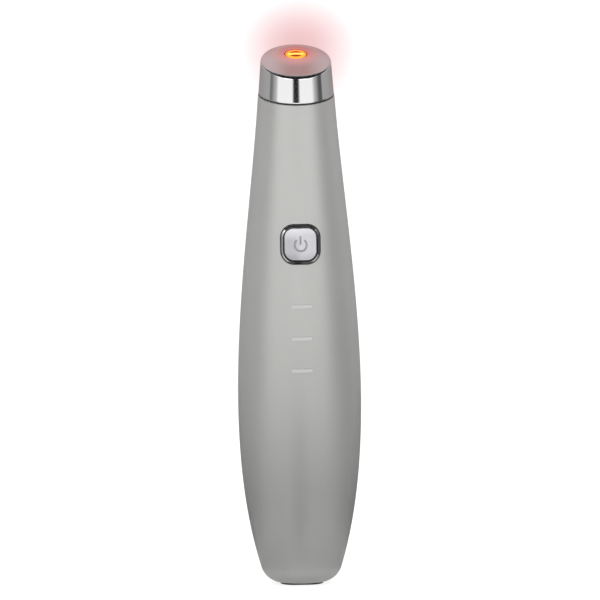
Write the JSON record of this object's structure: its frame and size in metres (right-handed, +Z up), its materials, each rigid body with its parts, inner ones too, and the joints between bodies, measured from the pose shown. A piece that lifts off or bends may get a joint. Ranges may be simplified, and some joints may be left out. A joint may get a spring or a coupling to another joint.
{
  "type": "heated eye massager wand",
  "caption": "Slim oval wand with a tilted polished heated head, a framed push button, indicator bars and a small foot with a charging port.",
  "frame": {"origin": "centre of the foot's underside, on the surface that the wand stands on", "axes": "+Z up the wand from the foot to the metal head; -Y is the front with the button; +X is to the right of someone who faces the button"},
  "size_m": [0.032, 0.0272, 0.1401],
  "materials": {
    "shell_grey": "satin warm grey paint",
    "head_metal": "mirror polished side, rose-lit domed top",
    "seal_black": "matt",
    "carrier_white": "moulded",
    "lens_amber": "clear amber",
    "board_green": "solder mask",
    "led_white": "moulded",
    "film_copper": "thin film",
    "chip_black": "moulded",
    "lead_red": "insulation",
    "lead_blue": "insulation",
    "frame_chrome": "mirror plated",
    "button_silver": "satin silver plated",
    "plunger_cream": "moulded",
    "steel": "plain",
    "passive_tan": "ceramic",
    "foot_black": "fine moulded",
    "guide_clear": "frosted clear",
    "cell_wrap": "shrink wrap over the can",
    "nickel": "strip",
    "foam": "foam tape",
    "sleeve_rubber": "moulded",
    "tungsten": "sintered"
  },
  "bodies": {
    "housing": {"front_shell": "shell_grey", "rear_shell": "shell_grey", "massage_head": "head_metal", "head_gasket": "seal_black", "head_carrier": "carrier_white", "head_lens": "lens_amber", "head_board": "board_green", "head_led": "led_white", "heater_film": "film_copper", "thermistor": "chip_black", "head_leads": "lead_red", "button_bezel": "frame_chrome", "tact_switch": "chip_black", "main_board": "board_green", "board_screws": "steel", "mode_leds": "led_white", "control_chip": "chip_black", "charger_chip": "chip_black", "board_passives": "passive_tan", "usb_port_shell": "steel", "usb_port_tongue": "chip_black", "base_cap": "foot_black", "indicator_light_guide": "guide_clear", "battery_cell": "cell_wrap", "battery_tabs": "nickel", "battery_pad": "foam", "battery_leads": "lead_red", "motor_can": "steel", "motor_end_cap": "chip_black", "motor_sleeve": "sleeve_rubber", "motor_leads": "lead_blue"},
    "button": {"power_button": "button_silver"},
    "plunger": {"switch_plunger": "plunger_cream"},
    "motor_rotor": {"motor_shaft": "steel", "eccentric_weight": "tungsten"}
  },
  "joints": [
    {"name": "button_press", "type": "slide", "parent": "housing", "child": "button", "axis": [0, 1, 0], "range_m": [0, 0.0004], "stiffness_N_per_m": 2500, "springref_m": -0.0003},
    {"name": "switch_press", "type": "slide", "parent": "housing", "child": "plunger", "axis": [0, 1, 0], "range_m": [0, 0.0004]},
    {"name": "motor_spin", "type": "hinge", "parent": "housing", "child": "motor_rotor", "pos_m": [0, 0, 0.1207], "axis": [0, 0, 1], "continuous": true}
  ],
  "couplings": [
    {"joint": "switch_press", "follows": "button_press", "ratio": 1}
  ]
}
